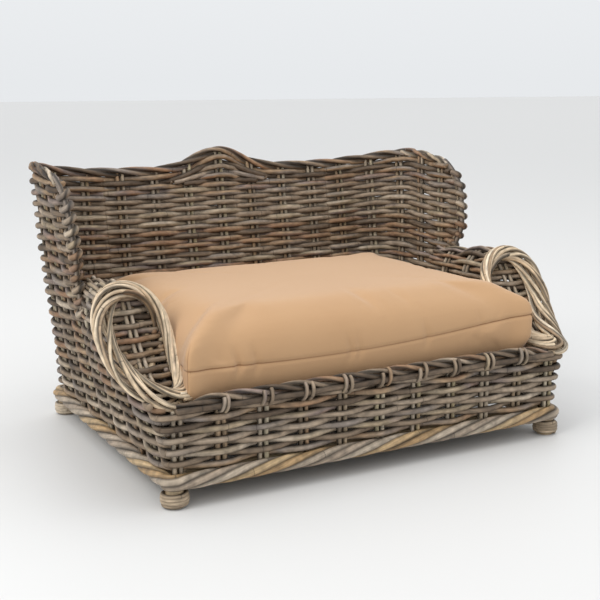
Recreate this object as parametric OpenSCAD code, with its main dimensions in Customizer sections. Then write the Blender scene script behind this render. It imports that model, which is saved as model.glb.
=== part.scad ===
// Woven rattan bed for a pet: a low sofa-shaped basket with a winged back, rolled arms and a loose cushion.
// Millimetres, +Z up. The origin is on the floor, under the middle of the basket's whole outline.

/* [Base] */
// Width of the woven walls at the base, from centre to centre of the weave
base_w = 752; // [700:1:800]
// Depth of the woven walls at the base, from centre to centre of the weave
base_d = 558; // [520:1:600]
// Height of the feet, up to the underside of the rope
foot_h = 28; // [22:1:34]
// Outer diameter of a foot, over its wrapping
foot_d = 46; // [40:1:52]
// Diameter of the twisted rope round the base
rope_d = 26; // [20:1:28]
// Diameter of the rattan poles of the base and the seat
pole_d = 22; // [18:1:24]

/* [Walls] */
// Thickness of the weave
weave_t = 16; // [12:1:18]
// Height at which the weave starts, just above the rope
weave_z = 56; // [55:1:60]
// Diameter of a stake, the upright that the weave passes round
stake_d = 8; // [6:0.5:9]
// Spacing of the pairs of stakes
stake_pitch = 73; // [65:1:85]
// Height of the front wall, over its rim
front_h = 170; // [150:1:180]
// Outward lean of the side walls, as a slope
side_flare = 0.1; // [0.05:0.01:0.12]
// Backward lean of the back, as a slope
back_lean = 0.18; // [0.12:0.01:0.2]

/* [Back and wings] */
// Height of the back between its crest and its shoulders
back_h = 468; // [440:1:480]
// Extra height of the crest, in the middle of the back
crest_rise = 37; // [20:1:40]
// Extra height of the rounded shoulders, at the wings
shoulder_rise = 26; // [10:1:30]
// Distance round the top, from the middle of the back to where a shoulder starts to fall
shoulder_start = 547; // [535:1:550]
// Distance round the wall, from the middle of the back to a wing's front edge
wing_reach = 663; // [650:1:672]
// Height at which a wing's front edge starts to round over
shoulder_z = 400; // [390:1:410]
// Height at which a wing meets the arm
wing_foot_z = 300; // [298:1:304]

/* [Arms] */
// Height of the arm's roll at its front, centre of the weave
arm_top = 312; // [306:1:316]
// Distance from the middle of the basket to the middle of an arm
arm_x = 384; // [382:1:386]
// Width of the arm's roll at its front, centre to centre of the weave
arm_w = 92; // [86:1:94]
// Height of the lowest point of the wreath round the arm's front
wreath_foot = 166; // [164:1:170]
// Width of the wreath's band of canes
wreath_w = 28; // [22:1:30]

/* [Seat] */
// Height of the top of the woven seat
seat_z = 122; // [118:1:124]
// Width of the cushion at its corners
cushion_w = 656; // [600:1:656]
// Depth of the cushion
cushion_d = 500; // [440:1:504]
// Height of the seam round the cushion
seam_z = 208; // [195:1:212]
// Height of the cushion's crown
crown_z = 282; // [255:1:284]

/* [Hidden] */

// Colours of the weathered canes, the peeled canes, the poles and the cloth
grey_cane = [0.42, 0.36, 0.31];
dark_cane = [0.36, 0.31, 0.27];
pale_cane = [0.68, 0.58, 0.45];
tan_cane = [0.55, 0.45, 0.33];
pole_tan = [0.62, 0.50, 0.35];
camel_cloth = [0.80, 0.62, 0.44];
zip_tan = [0.66, 0.49, 0.34];
zip_brass = [0.62, 0.50, 0.30];
steel = [0.6, 0.6, 0.6];

// Clearance between pieces that only lie against each other
gap = 0.3;
pole_r = pole_d / 2;
stake_r = stake_d / 2;
rope_r = rope_d / 2;
border_r = 10;
// The rope runs round the base, partly under the weave
rope_x = base_w / 2 + 5.5;
rope_y = base_d / 2 + 8.5;
rope_z = foot_h + rope_r + gap;
// The posts stand in the corners, far enough inside to clear the weave's rounded bends
corner_room = 4.3;
post_x = base_w / 2 - weave_t / 2 - corner_room - pole_r;
post_y = base_d / 2 - weave_t / 2 - corner_room - pole_r;
rail_z = foot_h + pole_r;
seat_rail_z = seat_z - 10 - pole_r;
post_top = front_h - 2 * border_r - 2;
foot_turns = 4;

function clamp01(t) = max(0, min(1, t));
function smooth(t) = let(c = clamp01(t)) c * c * (3 - 2 * c);
function mix(a, b, t) = a + (b - a) * t;

// ---- The wall's middle surface, which every woven panel follows ----

// Half the width, half the depth behind the base's centre, and the rear corner's radius, at height z
function half_w(z) = base_w / 2 + side_flare * (z - weave_z);
function back_y(z) = base_d / 2 + back_lean * (z - weave_z);
function corner_r(z) = 20 + 0.25 * (z - weave_z);
// The base sits forward of the origin, because the back leans out behind it
crest_rod_z = back_h + crest_rise - border_r;
base_forward = (back_y(crest_rod_z) + border_r - rope_y - rope_r) / 2;

// Outward swell of the side wall below the arm: strongest at the front, and none behind the wing's edge
arm_swell = arm_x + arm_w / 2 - half_w(240);
function swell(y) = arm_swell * smooth((100 - y) / 260);
function swell_share(z) = pow(clamp01((z - 60) / 180), 1.6);

// Point of the right half of the wall, at distance s round from the middle of the back and at height z
function wall(s, z) =
    let(a = half_w(z), b = back_y(z), r = corner_r(z), straight = a - r, bend = r * PI / 2)
    s < straight ? [s, b - base_forward, z]
    : s < straight + bend ? let(t = (s - straight) / r * 180 / PI)
        [straight + r * sin(t), b - r + r * cos(t) - base_forward, z]
    : let(y = b - r - (s - straight - bend))
        [a + swell(y) * swell_share(z), y - base_forward, z];

// Distance round the wall, at height z, to the point of the side wall at depth y
function round_to(y, z) = half_w(z) - corner_r(z) + corner_r(z) * PI / 2 + back_y(z) - corner_r(z) - y;

// Height of the top edge at distance s: a crest in the middle, and a shoulder that falls to the wing's edge
function top_line(s) = back_h + crest_rise * exp(-pow(s / 71, 2)) + shoulder_rise * exp(-pow((s - 480) / 130, 2));
shoulder_w = wing_reach - shoulder_start;
function wall_top(s) = s < shoulder_start ? top_line(s)
    : shoulder_z + (top_line(shoulder_start) - shoulder_z)
        * sqrt(max(0, 1 - pow((s - shoulder_start) / shoulder_w, 2)));

// Distance of a wing's front edge at height z, drawn back a little where it meets the arm
function wing_edge(z) = wing_reach - 27 * pow(clamp01((350 - z) / 50), 1.5);

// ---- The arm's section and the slanted line of its front ----

arm_mid_z = (arm_top + wreath_foot) / 2;
arm_half_h = (arm_top - wreath_foot) / 2;

// Front outline of the arm, a drop that is wider at the top, at angle t: x and z
function arm_ring(t) = [
    arm_x + arm_w / 2 * cos(t) * (1 + 0.2 * sin(t)) + 4 * sin(t)
        - (sin(t) < 0 ? 10 * sin(t) * sin(t) * (1 - cos(t)) : 0),
    arm_mid_z + arm_half_h * sin(t)
];

// How far forward the arm's front lies at x and z: it leans back, and turns a little towards the seat
function arm_front(x, z) =
    -158 - 0.35 * (x - 440) + 0.7 * (z - 280) - 50 * pow(max(0, (280 - z) / 120), 3);
function arm_front_point(x, z) = [x, arm_front(x, z) - base_forward, z];

// ---- General shapes ----

// A closed sheet of even thickness t: point(u, v) gives its middle surface, for u and v from 0 to 1
module sheet(point, nu, nv, t) {
    d = 0.002;
    function raised(u, v, h) =
        let(
            a = point(min(1, u + d), v) - point(max(0, u - d), v),
            b = point(u, min(1, v + d)) - point(u, max(0, v - d)),
            n = cross(a, b)
        ) point(u, v) + n / norm(n) * h;
    row = nv + 1;
    side = (nu + 1) * row;
    function at(k, i, j) = k * side + i * row + j;
    points = [for (k = [0, 1], i = [0 : nu], j = [0 : nv]) raised(i / nu, j / nv, (k - 0.5) * t)];
    top = [for (i = [0 : nu - 1], j = [0 : nv - 1])
        each [[at(1, i, j), at(1, i + 1, j + 1), at(1, i + 1, j)], [at(1, i, j), at(1, i, j + 1), at(1, i + 1, j + 1)]]];
    bottom = [for (i = [0 : nu - 1], j = [0 : nv - 1])
        each [[at(0, i, j), at(0, i + 1, j), at(0, i + 1, j + 1)], [at(0, i, j), at(0, i + 1, j + 1), at(0, i, j + 1)]]];
    long_edges = [for (i = [0 : nu - 1]) each [
        [at(0, i, 0), at(1, i, 0), at(1, i + 1, 0)], [at(0, i, 0), at(1, i + 1, 0), at(0, i + 1, 0)],
        [at(0, i, nv), at(1, i + 1, nv), at(1, i, nv)], [at(0, i, nv), at(0, i + 1, nv), at(1, i + 1, nv)]]];
    short_edges = [for (j = [0 : nv - 1]) each [
        [at(0, 0, j), at(1, 0, j + 1), at(1, 0, j)], [at(0, 0, j), at(0, 0, j + 1), at(1, 0, j + 1)],
        [at(0, nu, j), at(1, nu, j), at(1, nu, j + 1)], [at(0, nu, j), at(1, nu, j + 1), at(0, nu, j + 1)]]];
    polyhedron(points, concat(top, bottom, long_edges, short_edges));
}

// A tube along path, rx wide across the side direction and rz thick, with n sides; a closed path is a ring
module tube(path, rx, rz, n, closed = false) {
    m = len(path);
    function tangent(i) =
        let(
            before = closed ? path[(i + m - 1) % m] : path[max(0, i - 1)],
            after = closed ? path[(i + 1) % m] : path[min(m - 1, i + 1)]
        ) (after - before) / norm(after - before);
    // The side direction lies in the ring's plane for a ring, and level for an open path
    middle = [for (k = [0 : 2]) [for (p = path) 1] * [for (p = path) p[k]] / m];
    function across(i) =
        let(
            t = tangent(i),
            guess = closed ? path[i] - middle : [-t[1], t[0], 0] + [0.001, 0, 0],
            flat = guess - (guess * t) * t
        ) flat / norm(flat);
    points = [for (i = [0 : m - 1], k = [0 : n - 1])
        let(t = tangent(i), e = across(i), f = cross(t, e), w = 360 * k / n)
            path[i] + rx * cos(w) * e + rz * sin(w) * f];
    last = closed ? m - 1 : m - 2;
    skin = [for (i = [0 : last], k = [0 : n - 1])
        let(a = i * n + k, b = i * n + (k + 1) % n, c = ((i + 1) % m) * n + (k + 1) % n, d = ((i + 1) % m) * n + k)
            each [[a, c, b], [a, d, c]]];
    ends = closed ? [] : [[for (k = [0 : n - 1]) k], [for (k = [n - 1 : -1 : 0]) (m - 1) * n + k]];
    polyhedron(points, concat(skin, ends));
}

// A straight round rod between two points
module rod(a, b, r) {
    v = b - a;
    translate(a)
        rotate([0, acos(v[2] / norm(v)), atan2(v[1], v[0])])
            cylinder(h = norm(v), r = r, $fn = 24);
}

// ---- Frame: posts, rails and slats ----

module post(side_x, side_y) color(pole_tan)
    translate([side_x * post_x, side_y * post_y - base_forward, foot_h])
        cylinder(h = post_top - foot_h, r = pole_r, $fn = 32);
module front_left_post() post(-1, -1);
module front_right_post() post(1, -1);
module rear_left_post() post(-1, 1);
module rear_right_post() post(1, 1);

// A rail between two posts, its ends cut to fit round them
module rail(a, b) color(pole_tan)
    difference() {
        rod(a, b, pole_r);
        for (p = [a, b])
            translate([p[0], p[1], 0])
                cylinder(h = front_h, r = pole_r + 0.1, $fn = 32);
    }

// A side rail, its ends also hollowed to fit against the front and rear rails
module side_rail(a, b)
    difference() {
        rail(a, b);
        for (p = [a, b])
            translate(p)
                rotate([0, 90, 0])
                    cylinder(h = 4 * pole_r, r = pole_r + 0.1, center = true, $fn = 32);
    }
function post_at(side_x, side_y, z) = [side_x * post_x, side_y * post_y - base_forward, z];
module base_front_rail() rail(post_at(-1, -1, rail_z), post_at(1, -1, rail_z));
module base_rear_rail() rail(post_at(-1, 1, rail_z), post_at(1, 1, rail_z));
module base_left_rail() side_rail(post_at(-1, -1, rail_z), post_at(-1, 1, rail_z));
module base_right_rail() side_rail(post_at(1, -1, rail_z), post_at(1, 1, rail_z));
module seat_front_rail() rail(post_at(-1, -1, seat_rail_z), post_at(1, -1, seat_rail_z));
module seat_rear_rail() rail(post_at(-1, 1, seat_rail_z), post_at(1, 1, seat_rail_z));
module seat_left_rail() side_rail(post_at(-1, -1, seat_rail_z), post_at(-1, 1, seat_rail_z));
module seat_right_rail() side_rail(post_at(1, -1, seat_rail_z), post_at(1, 1, seat_rail_z));

// Thin poles under the seat, from front to rear, their ends butted against the rails
slat_count = 8;
slat_r = 8;
slat_pitch = 2 * post_x / (slat_count + 1);
slat_len = 2 * (post_y - pole_r - gap);
module seat_slats() color(pole_tan)
    for (i = [1 : slat_count])
        translate([i * slat_pitch - post_x, -base_forward, seat_rail_z + pole_r - slat_r])
            rotate([90, 0, 0])
                cylinder(h = slat_len, r = slat_r, center = true, $fn = 24);

// The seat itself, a flat woven deck nailed on top of the rails
deck_t = 9;
deck_w = base_w - weave_t - 2 * gap;
deck_d = base_d - weave_t - 2 * gap;
module seat_weave() color(dark_cane)
    difference() {
        translate([-deck_w / 2, -deck_d / 2 - base_forward, seat_z - deck_t])
            cube([deck_w, deck_d, deck_t]);
        for (side_x = [-1, 1], side_y = [-1, 1])
            translate([side_x * post_x, side_y * post_y - base_forward, seat_z - 2 * deck_t])
                cylinder(h = 3 * deck_t, r = pole_r + gap, $fn = 32);
    }

// Wire nails that hold the rails to the posts, driven in from the outside
nail_r = 1;
nail_len = 34;
module frame_nails() color(steel)
    for (side_x = [-1, 1], side_y = [-1, 1], z = [rail_z, seat_rail_z])
        translate([side_x * post_x, side_y * (post_y + pole_r - 1.5) - base_forward, z])
            rotate([side_y * 90, 0, 0]) {
                cylinder(h = nail_len, r = nail_r, $fn = 16);
                translate([0, 0, -1])
                    cylinder(h = 1, r = 2.4, $fn = 16);
            }

// ---- Feet ----

foot_x = rope_x - rope_r + 0.5;
foot_y = rope_y - rope_r + 0.5;
core_r = foot_d / 2 - 9;
module foot_core(side_x, side_y) color(pole_tan)
    translate([side_x * foot_x, side_y * foot_y - base_forward, 0])
        cylinder(h = foot_h, r = core_r, $fn = 32);
module front_left_foot_core() foot_core(-1, -1);
module front_right_foot_core() foot_core(1, -1);
module rear_left_foot_core() foot_core(-1, 1);
module rear_right_foot_core() foot_core(1, 1);

// Turns of cane wound round the core, the middle ones widest
turn_h = (foot_h - 1) / foot_turns;
module foot_wrap(side_x, side_y) color(tan_cane)
    translate([side_x * foot_x, side_y * foot_y - base_forward, 0.5])
        rotate_extrude($fn = 48)
            for (i = [0 : foot_turns - 1])
                let(out = foot_d / 2 - 0.5 * abs(2 * i - foot_turns + 1))
                    translate([core_r + gap, i * turn_h]) {
                        square([out - core_r - gap - turn_h / 2, turn_h]);
                        translate([out - core_r - gap - turn_h / 2, turn_h / 2])
                            circle(d = turn_h, $fn = 24);
                    }
module front_left_foot_wrap() foot_wrap(-1, -1);
module front_right_foot_wrap() foot_wrap(1, -1);
module rear_left_foot_wrap() foot_wrap(-1, 1);
module rear_right_foot_wrap() foot_wrap(1, 1);

// ---- Stakes, in pairs ----

pair_half = 5.5;
stake_foot = weave_z + 2;

// A pair of straight stakes that follow the wall at distance s, up to height z
module stake_pair(s, z) {
    for (k = [-1, 1])
        rod(wall(s + k * pair_half, stake_foot), wall(s + k * pair_half, z), stake_r);
}
straight_back = 3.5 * stake_pitch;
module back_stakes() color(pale_cane)
    for (i = [-3 : 3])
        if (i < 0)
            mirror([1, 0, 0]) stake_pair(-i * stake_pitch, wall_top(-i * stake_pitch) - 25);
        else if (i > 0)
            stake_pair(i * stake_pitch, wall_top(i * stake_pitch) - 25);
        else
            for (k = [-1, 1])
                rod([k * pair_half, back_y(stake_foot) - base_forward, stake_foot],
                    [k * pair_half, back_y(wall_top(0) - 25) - base_forward, wall_top(0) - 25], stake_r);

// Stakes of the wing and the rear corner, above the side wall
split_z = 240;
module right_wing_stakes() color(pale_cane)
    for (i = [4 : 8])
        for (k = [-1, 1])
            let(s = i * stake_pitch + k * pair_half)
                rod(wall(s, split_z + 2), wall(s, min(wall_top(s), shoulder_z + 70) - 26), stake_r);
module left_wing_stakes() mirror([1, 0, 0]) right_wing_stakes();

// Stakes of the side wall, from the rear corner to the front post
side_stakes_s = [for (i = [4 : 12]) i * stake_pitch];
module right_side_stakes() color(pale_cane)
    for (s = side_stakes_s)
        for (k = [-1, 1])
            let(top = mix(stake_foot, side_top(wall(s, split_z)[1] + base_forward), 0.75))
                rod(wall(s + k * pair_half, stake_foot), wall(s + k * pair_half, top), stake_r);
module left_side_stakes() mirror([1, 0, 0]) right_side_stakes();

front_y = -base_d / 2 - base_forward;
module front_stakes() color(pale_cane)
    for (i = [-4 : 4])
        for (k = [-1, 1])
            translate([i * stake_pitch + k * pair_half, front_y, stake_foot])
                cylinder(h = post_top - stake_foot - 2, r = stake_r, $fn = 24);

// ---- Woven panels ----

// The front wall, from corner to corner
front_half = base_w / 2 + weave_t / 2;
module front_weave() color(grey_cane)
    translate([-front_half, front_y - weave_t / 2, weave_z])
        cube([2 * front_half, weave_t, post_top - weave_z]);

// The weave stops this far below the top of its border
under_border = 2 * border_r + 2;

// The straight middle of the back, with its crest
back_cells = 24;
module back_weave() color(grey_cane)
    sheet(function(u, v)
        let(s = mix(-straight_back, straight_back, u), z = mix(weave_z, wall_top(abs(s)) - under_border, v))
            [s, back_y(z) - base_forward, z], back_cells, 2, weave_t);

// Height of the side wall's top edge at depth y: level under the arm, and falling in front to the rim
function side_top(y) = mix(split_z, post_top, clamp01((-172 - y) / 68));

// The side wall, from the rear corner forward under the arm to the front post
side_start = straight_back + gap;
front_inner = -base_d / 2 + weave_t / 2 + gap;
module right_side_weave() color(grey_cane)
    sheet(function(u, v)
        let(
            s0 = mix(side_start, round_to(front_inner, split_z), u),
            z = mix(weave_z, side_top(wall(s0, split_z)[1] + base_forward), v),
            s = mix(side_start, round_to(front_inner, z), u)
        ) wall(s, z), 22, 6, weave_t);
module left_side_weave() mirror([1, 0, 0]) right_side_weave();

// Height of the wing's weave at distance s, inside the border's curve
function wing_top(s) = s < shoulder_start ? top_line(s) - under_border
    : shoulder_z + (top_line(shoulder_start) - shoulder_z - under_border)
        * sqrt(max(0, 1 - pow((s - shoulder_start) / (shoulder_w - 2 * border_r - 1), 2)));

// The wing and the rear corner, above the side wall
module right_wing_weave() color(grey_cane)
    sheet(function(u, v)
        let(
            s0 = mix(side_start, wing_reach - 2 * border_r - 1, u),
            z = mix(split_z + gap, wing_top(s0), v),
            s = mix(side_start, wing_edge(z) - 2 * border_r - 1, u)
        ) wall(s, z), 16, 6, weave_t);
module left_wing_weave() mirror([1, 0, 0]) right_wing_weave();

// The arm's roll: from the top of the side wall over and down inside to the seat
arm_rear_y = 60;
function arm_back_section(t) = [
    half_w(280) - 24 + 24 * cos(t),
    mix(arm_mid_z, arm_top - 14, sin(t))
];
function arm_section(t, w) = mix(arm_back_section(t), arm_ring(t), w);
module right_arm_weave() color(grey_cane)
    sheet(function(u, v)
        let(
            t = mix(3, 177, min(u / 0.7, 1)),
            drop = max(0, (u - 0.7) / 0.3),
            w = smooth(v),
            top = arm_section(t, w),
            x = top[0],
            z = mix(top[1], seat_z + 1, drop),
            front = max(arm_front(x, z) + 9, -post_y + pole_r + 2)
        ) [x, mix(arm_rear_y, front, v) - base_forward, z], 20, 8, weave_t);
module left_arm_weave() mirror([1, 0, 0]) right_arm_weave();

// The arm's front, woven inside the wreath
panel_t = 10;
module right_arm_front_weave() {
    rings = 24;
    inner = 0.62;
    function edge(k, y) =
        let(q = arm_ring(360 * k / rings), m = [arm_x, arm_mid_z], p = m + inner * (q - m))
            arm_front_point(p[0], p[1]) + [0, y, 0];
    middle = arm_front_point(arm_x, arm_mid_z);
    points = concat(
        [for (k = [0 : rings - 1]) edge(k, 2)],
        [for (k = [0 : rings - 1]) edge(k, 2 + panel_t)],
        [middle + [0, 2, 0], middle + [0, 2 + panel_t, 0]]);
    faces = [for (k = [0 : rings - 1])
        let(n = (k + 1) % rings)
            each [[k, n, 2 * rings], [rings + n, rings + k, 2 * rings + 1],
                [k, rings + k, rings + n], [k, rings + n, n]]];
    color(dark_cane) polyhedron(points, faces);
}
module left_arm_front_weave() mirror([1, 0, 0]) right_arm_front_weave();

// A smaller ring of cane behind the arm's front, that the front is woven on
hoop_r = 6;
hoop_share = 0.6;
ring_steps = 32;
module right_arm_hoop() color(pole_tan)
    tube([for (k = [0 : ring_steps - 1])
        let(q = arm_ring(360 * k / ring_steps), m = [arm_x, arm_mid_z], p = m + hoop_share * (q - m))
            arm_front_point(p[0], p[1]) + [0, 22, 0]], hoop_r, hoop_r, 8, true);
module left_arm_hoop() mirror([1, 0, 0]) right_arm_hoop();

// A straight cane under the arm's top, from the hoop to the wing
module right_arm_cane() color(pole_tan)
    rod([arm_x - 6, arm_front(arm_x, arm_top) + 38 - base_forward, arm_top - 24],
        [half_w(280) - 24, arm_rear_y - 6 - base_forward, arm_top - 34], 6);
module left_arm_cane() mirror([1, 0, 0]) right_arm_cane();

// The wreath, a band of peeled canes bent round the arm's front
wreath_t = 15;
module right_arm_wreath() color(pale_cane)
    tube([for (k = [0 : ring_steps - 1])
        let(p = arm_ring(360 * k / ring_steps))
            arm_front_point(p[0], p[1]) + [0, -8, 0]], wreath_w / 2, wreath_t / 2, 10, true);
module left_arm_wreath() mirror([1, 0, 0]) right_arm_wreath();

// ---- Borders ----

// The thick twisted rope round the base, bent sharply at its corners
module base_rope() color(tan_cane)
    translate([0, -base_forward, rope_z])
        for (side = [-1, 1]) {
            translate([0, side * rope_y, 0])
                rotate([0, 90, 0])
                    cylinder(h = 2 * rope_x, r = rope_r, center = true, $fn = 32);
            translate([side * rope_x, 0, 0])
                rotate([90, 0, 0])
                    cylinder(h = 2 * rope_y, r = rope_r, center = true, $fn = 32);
            for (end = [-1, 1])
                translate([side * rope_x, end * rope_y, 0])
                    sphere(r = rope_r, $fn = 32);
        }

// The rods laid along the front wall's top
module front_rim_border() color(grey_cane)
    translate([0, front_y, front_h - border_r])
        rotate([0, 90, 0])
            cylinder(h = 2 * (arm_x - arm_w / 2 - 20), r = border_r, center = true, $fn = 32);

// The rods twisted along the top of the back, up to the shoulders
border_end = 440;
module back_top_border() color(grey_cane)
    tube([for (i = [-30 : 30])
        let(s = border_end * i / 30, p = wall(abs(s), wall_top(abs(s)) - border_r))
            [sign(s) * p[0], p[1], p[2]]], border_r, border_r, 10);

// The rods round a wing: over the shoulder and down its front edge to the arm
function wing_path(t) =
    t < 0.45 ? let(s = mix(border_end + 1, shoulder_start, t / 0.45)) [s, wall_top(s) - border_r]
    : t < 0.8 ? let(w = 90 * (t - 0.45) / 0.35)
        [shoulder_start + (shoulder_w - border_r) * sin(w),
         shoulder_z + (top_line(shoulder_start) - shoulder_z - border_r) * cos(w)]
    : let(z = mix(shoulder_z, wing_foot_z + 10, (t - 0.8) / 0.2)) [wing_edge(z) - border_r, z];
module right_wing_border() color(grey_cane)
    tube([for (i = [0 : 24]) let(q = wing_path(i / 24)) wall(q[0], q[1])], border_r, border_r, 10);
module left_wing_border() mirror([1, 0, 0]) right_wing_border();

// ---- Cushion ----

cushion_y = -16 - base_forward;
cushion_foot = seat_z + gap;
cover_t = 2;
pull_in = 10;
plan_r = 34;
arc_steps = 4;
side_steps = 6;

// Outline of the cushion from above: round corners, a straight front and rear, and ends that pull in
function pillow_plan(inset) =
    let(hx = cushion_w / 2 - inset, hy = cushion_d / 2 - inset, cx = hx - plan_r, cy = hy - plan_r)
    [for (q = [0 : 3])
        let(sx = q == 0 || q == 3 ? 1 : -1, sy = q < 2 ? 1 : -1)
            each concat(
                [for (k = [0 : arc_steps])
                    let(t = 90 * (q + k / arc_steps)) [sx * cx + plan_r * cos(t), sy * cy + plan_r * sin(t)]],
                [for (k = [1 : side_steps - 1])
                    let(f = k / side_steps)
                        q % 2 == 0 ? [sx * mix(cx, -cx, f), sy * hy]
                        : [sx * (hx - pull_in * sin(180 * f)), sy * mix(cy, -cy, f)]])];

// A plump pillow made of that outline at each level, drawn in towards its crown and its flat underside
module pillow_solid(inset) {
    plan = pillow_plan(inset);
    around = len(plan);
    levels = 14;
    function out(up) = pow(cos(up), 0.26);
    function height(up) = seam_z
        + (up > 0 ? (crown_z - seam_z - inset) * pow(sin(up), 0.9)
            : -(seam_z - cushion_foot - inset) * pow(-sin(up), 0.5));
    points = concat(
        [for (j = [1 : levels - 1], p = plan)
            let(up = -90 + 180 * j / levels) [p[0] * out(up), p[1] * out(up) + cushion_y, height(up)]],
        [[0, cushion_y, height(-90)], [0, cushion_y, height(90)]]);
    last = around * (levels - 1);
    skin = [for (j = [0 : levels - 3], i = [0 : around - 1])
        let(a = j * around + i, b = j * around + (i + 1) % around, c = b + around, d = a + around)
            each [[a, c, b], [a, d, c]]];
    caps = [for (i = [0 : around - 1])
        let(n = (i + 1) % around, top = around * (levels - 2))
            each [[i, n, last], [top + n, top + i, last + 1]]];
    polyhedron(points, concat(skin, caps));
}
module cushion_cover() color(camel_cloth)
    difference() {
        pillow_solid(0);
        pillow_solid(cover_t);
    }
module cushion_filling() color("white") pillow_solid(cover_t + gap);

// ---- Zip along the cushion's rear seam ----

rear_y = cushion_y + cushion_d / 2;
zip_half = 230;
tape_t = 1.2;
module zip_tape() color(zip_tan)
    translate([-zip_half, rear_y + 0.2, seam_z - 11])
        cube([2 * zip_half, tape_t, 22]);
coil_y = rear_y + 0.2 + tape_t + 1.7;
module zip_coil() color(zip_brass)
    translate([0, coil_y, seam_z])
        rotate([0, 90, 0])
            cylinder(h = 2 * zip_half - 16, r = 1.6, center = true, $fn = 24);

// The slider runs on the coil from the right end, where the zip is shut
slider_x = zip_half - 20;
bridge_y = coil_y + 7.7;
module zip_slider() color(zip_brass)
    difference() {
        union() {
            translate([slider_x - 7, coil_y - 1.3, seam_z - 5])
                cube([14, 5, 10]);
            translate([slider_x - 4, coil_y + 3, seam_z - 1])
                cube([8, 5.4, 2]);
        }
        translate([slider_x, coil_y, seam_z])
            rotate([0, 90, 0])
                cylinder(h = 20, r = 2, center = true, $fn = 24);
        translate([slider_x - 10, coil_y - 3, seam_z - 2])
            cube([20, 3, 4]);
        translate([slider_x - 2, coil_y + 3.7, seam_z - 3])
            cube([4, 3.3, 6]);
    }

// The pull's eye hangs on the slider's bridge, with its tab below
eye_r = 2.8;
eye_w = 3.4;
tab_len = 22;
module zip_pull() color(zip_brass)
    translate([slider_x, bridge_y, seam_z])
        difference() {
            union() {
                rotate([0, 90, 0])
                    cylinder(h = eye_w, r = eye_r, center = true, $fn = 24);
                translate([-eye_w / 2, -0.8, -4.5])
                    cube([eye_w, 1.6, 3]);
                translate([-3, -0.8, -4 - tab_len])
                    cube([6, 1.6, tab_len]);
            }
            rotate([0, 90, 0])
                cylinder(h = 2 * eye_w, r = 1.5, center = true, $fn = 24);
        }

front_left_post();
front_right_post();
rear_left_post();
rear_right_post();
base_front_rail();
base_rear_rail();
base_left_rail();
base_right_rail();
seat_front_rail();
seat_rear_rail();
seat_left_rail();
seat_right_rail();
seat_slats();
seat_weave();
frame_nails();
front_left_foot_core();
front_right_foot_core();
rear_left_foot_core();
rear_right_foot_core();
front_left_foot_wrap();
front_right_foot_wrap();
rear_left_foot_wrap();
rear_right_foot_wrap();
front_stakes();
back_stakes();
left_side_stakes();
right_side_stakes();
left_wing_stakes();
right_wing_stakes();
front_weave();
back_weave();
left_side_weave();
right_side_weave();
left_wing_weave();
right_wing_weave();
left_arm_weave();
right_arm_weave();
left_arm_front_weave();
right_arm_front_weave();
left_arm_cane();
right_arm_cane();
left_arm_hoop();
right_arm_hoop();
left_arm_wreath();
right_arm_wreath();
base_rope();
front_rim_border();
back_top_border();
left_wing_border();
right_wing_border();
cushion_cover();
cushion_filling();
zip_tape();
zip_coil();
zip_slider();
zip_pull();
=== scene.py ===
import math

import bpy
import numpy as np
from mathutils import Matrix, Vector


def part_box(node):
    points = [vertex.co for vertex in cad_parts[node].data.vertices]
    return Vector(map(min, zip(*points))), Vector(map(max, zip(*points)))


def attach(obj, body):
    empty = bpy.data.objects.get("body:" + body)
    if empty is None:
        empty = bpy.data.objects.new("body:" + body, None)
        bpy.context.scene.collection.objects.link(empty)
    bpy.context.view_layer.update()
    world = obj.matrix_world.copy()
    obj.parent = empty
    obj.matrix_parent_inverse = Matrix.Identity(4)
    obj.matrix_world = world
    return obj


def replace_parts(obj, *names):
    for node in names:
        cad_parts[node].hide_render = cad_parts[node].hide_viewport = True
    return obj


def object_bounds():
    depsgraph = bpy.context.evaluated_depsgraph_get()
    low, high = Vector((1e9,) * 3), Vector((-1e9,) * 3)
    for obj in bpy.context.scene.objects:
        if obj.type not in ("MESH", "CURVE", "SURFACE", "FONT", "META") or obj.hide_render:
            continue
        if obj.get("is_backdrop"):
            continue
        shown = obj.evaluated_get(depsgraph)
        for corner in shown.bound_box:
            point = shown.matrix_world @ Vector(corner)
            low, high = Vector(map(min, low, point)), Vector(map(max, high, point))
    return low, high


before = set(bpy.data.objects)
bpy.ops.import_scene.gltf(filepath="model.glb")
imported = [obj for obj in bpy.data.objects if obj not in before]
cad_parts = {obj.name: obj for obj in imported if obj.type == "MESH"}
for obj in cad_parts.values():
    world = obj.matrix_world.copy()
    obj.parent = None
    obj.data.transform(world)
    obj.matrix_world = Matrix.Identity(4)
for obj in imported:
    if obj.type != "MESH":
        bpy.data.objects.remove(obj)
cad_low, cad_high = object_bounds()


# ---- Camera ----
# A standing viewer's look from the front left, a little above the arms, with a long lens.
def put(name, data):
    """Puts an object of this name and data into the scene."""
    made = bpy.data.objects.new(name, data)
    bpy.context.scene.collection.objects.link(made)
    return made


look_down, look_right = 11.43, 28.95
camera_data = bpy.data.cameras.new("camera")
camera_data.sensor_width = 36.0
camera_data.lens = 65.57
camera = put("camera", camera_data)
camera.location = (-0.9668, -1.7862, 0.6427)
camera.rotation_euler = (math.radians(90 - look_down), 0, math.radians(-look_right))
bpy.context.scene.camera = camera


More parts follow.
